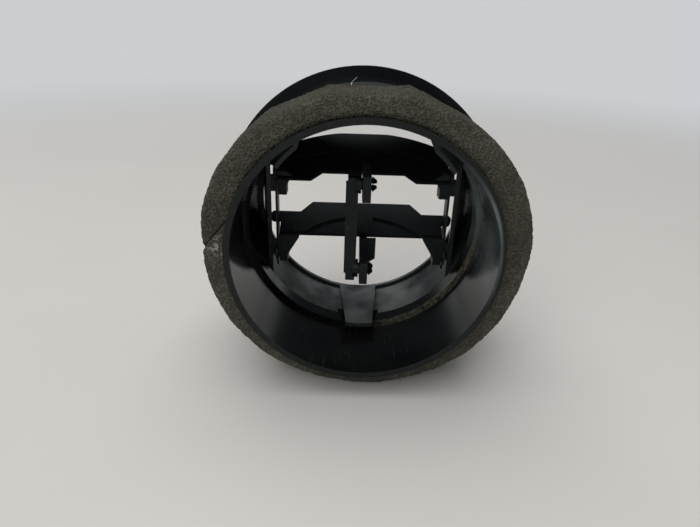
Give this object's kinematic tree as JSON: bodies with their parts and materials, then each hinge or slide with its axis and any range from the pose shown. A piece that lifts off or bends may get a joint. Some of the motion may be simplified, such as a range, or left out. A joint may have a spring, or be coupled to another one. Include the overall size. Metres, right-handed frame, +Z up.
{
  "type": "dashboard air vent",
  "caption": "Round dashboard air vent: duct stub with a foam seal, bezel ring, and a turning drum with two linked tilting vanes",
  "frame": {"origin": "on the vent's axis, in the plane of the flange's back, where the vent seats on the panel", "axes": "+Z up, the front faces -Y into the cabin, the duct stub points to +Y"},
  "size_m": [0.1016, 0.0587, 0.101],
  "materials": {
    "housing_plastic": "black moulded polypropylene, satin, dusty inside the duct",
    "bezel_plastic": "black moulded plastic, fine satin",
    "foam": "open-cell grey-brown sealing foam",
    "drum_plastic": "black moulded plastic, smooth and slightly glossy inside",
    "felt": "black felt",
    "strip_plastic": "black acetal, matt",
    "vane_plastic": "black moulded plastic, fine matt grain",
    "link_plastic": "black acetal, satin"
  },
  "bodies": {
    "root": {"housing": "housing_plastic", "bezel_ring": "bezel_plastic", "foam_seal": "foam"},
    "drum_body": {"drum": "drum_plastic", "felt_band": "felt", "bearing_strip_left": "strip_plastic", "bearing_strip_right": "strip_plastic"},
    "upper_vane": {"vane_upper": "vane_plastic"},
    "lower_vane": {"vane_lower": "vane_plastic"},
    "link": {"link_bar": "link_plastic"}
  },
  "joints": [
    {"name": "drum_spin", "type": "hinge", "parent": "root", "child": "drum_body", "pos_m": [0, 0, 0], "axis": [0, 1, 0], "continuous": true},
    {"name": "vane_tilt", "type": "hinge", "parent": "drum_body", "child": "upper_vane", "pos_m": [0, 0.0077, 0.0154], "axis": [1, 0, 0], "range_deg": [0, 62]},
    {"name": "lower_tilt", "type": "hinge", "parent": "drum_body", "child": "lower_vane", "pos_m": [0, 0.0077, -0.0154], "axis": [1, 0, 0], "range_deg": [0, 62]},
    {"name": "link_swing", "type": "hinge", "parent": "upper_vane", "child": "link", "pos_m": [0, 0.0203, 0.0154], "axis": [1, 0, 0], "range_deg": [-62, 0]}
  ],
  "couplings": [
    {"joint": "lower_tilt", "follows": "vane_tilt", "ratio": 1},
    {"joint": "link_swing", "follows": "vane_tilt", "ratio": -1}
  ]
}
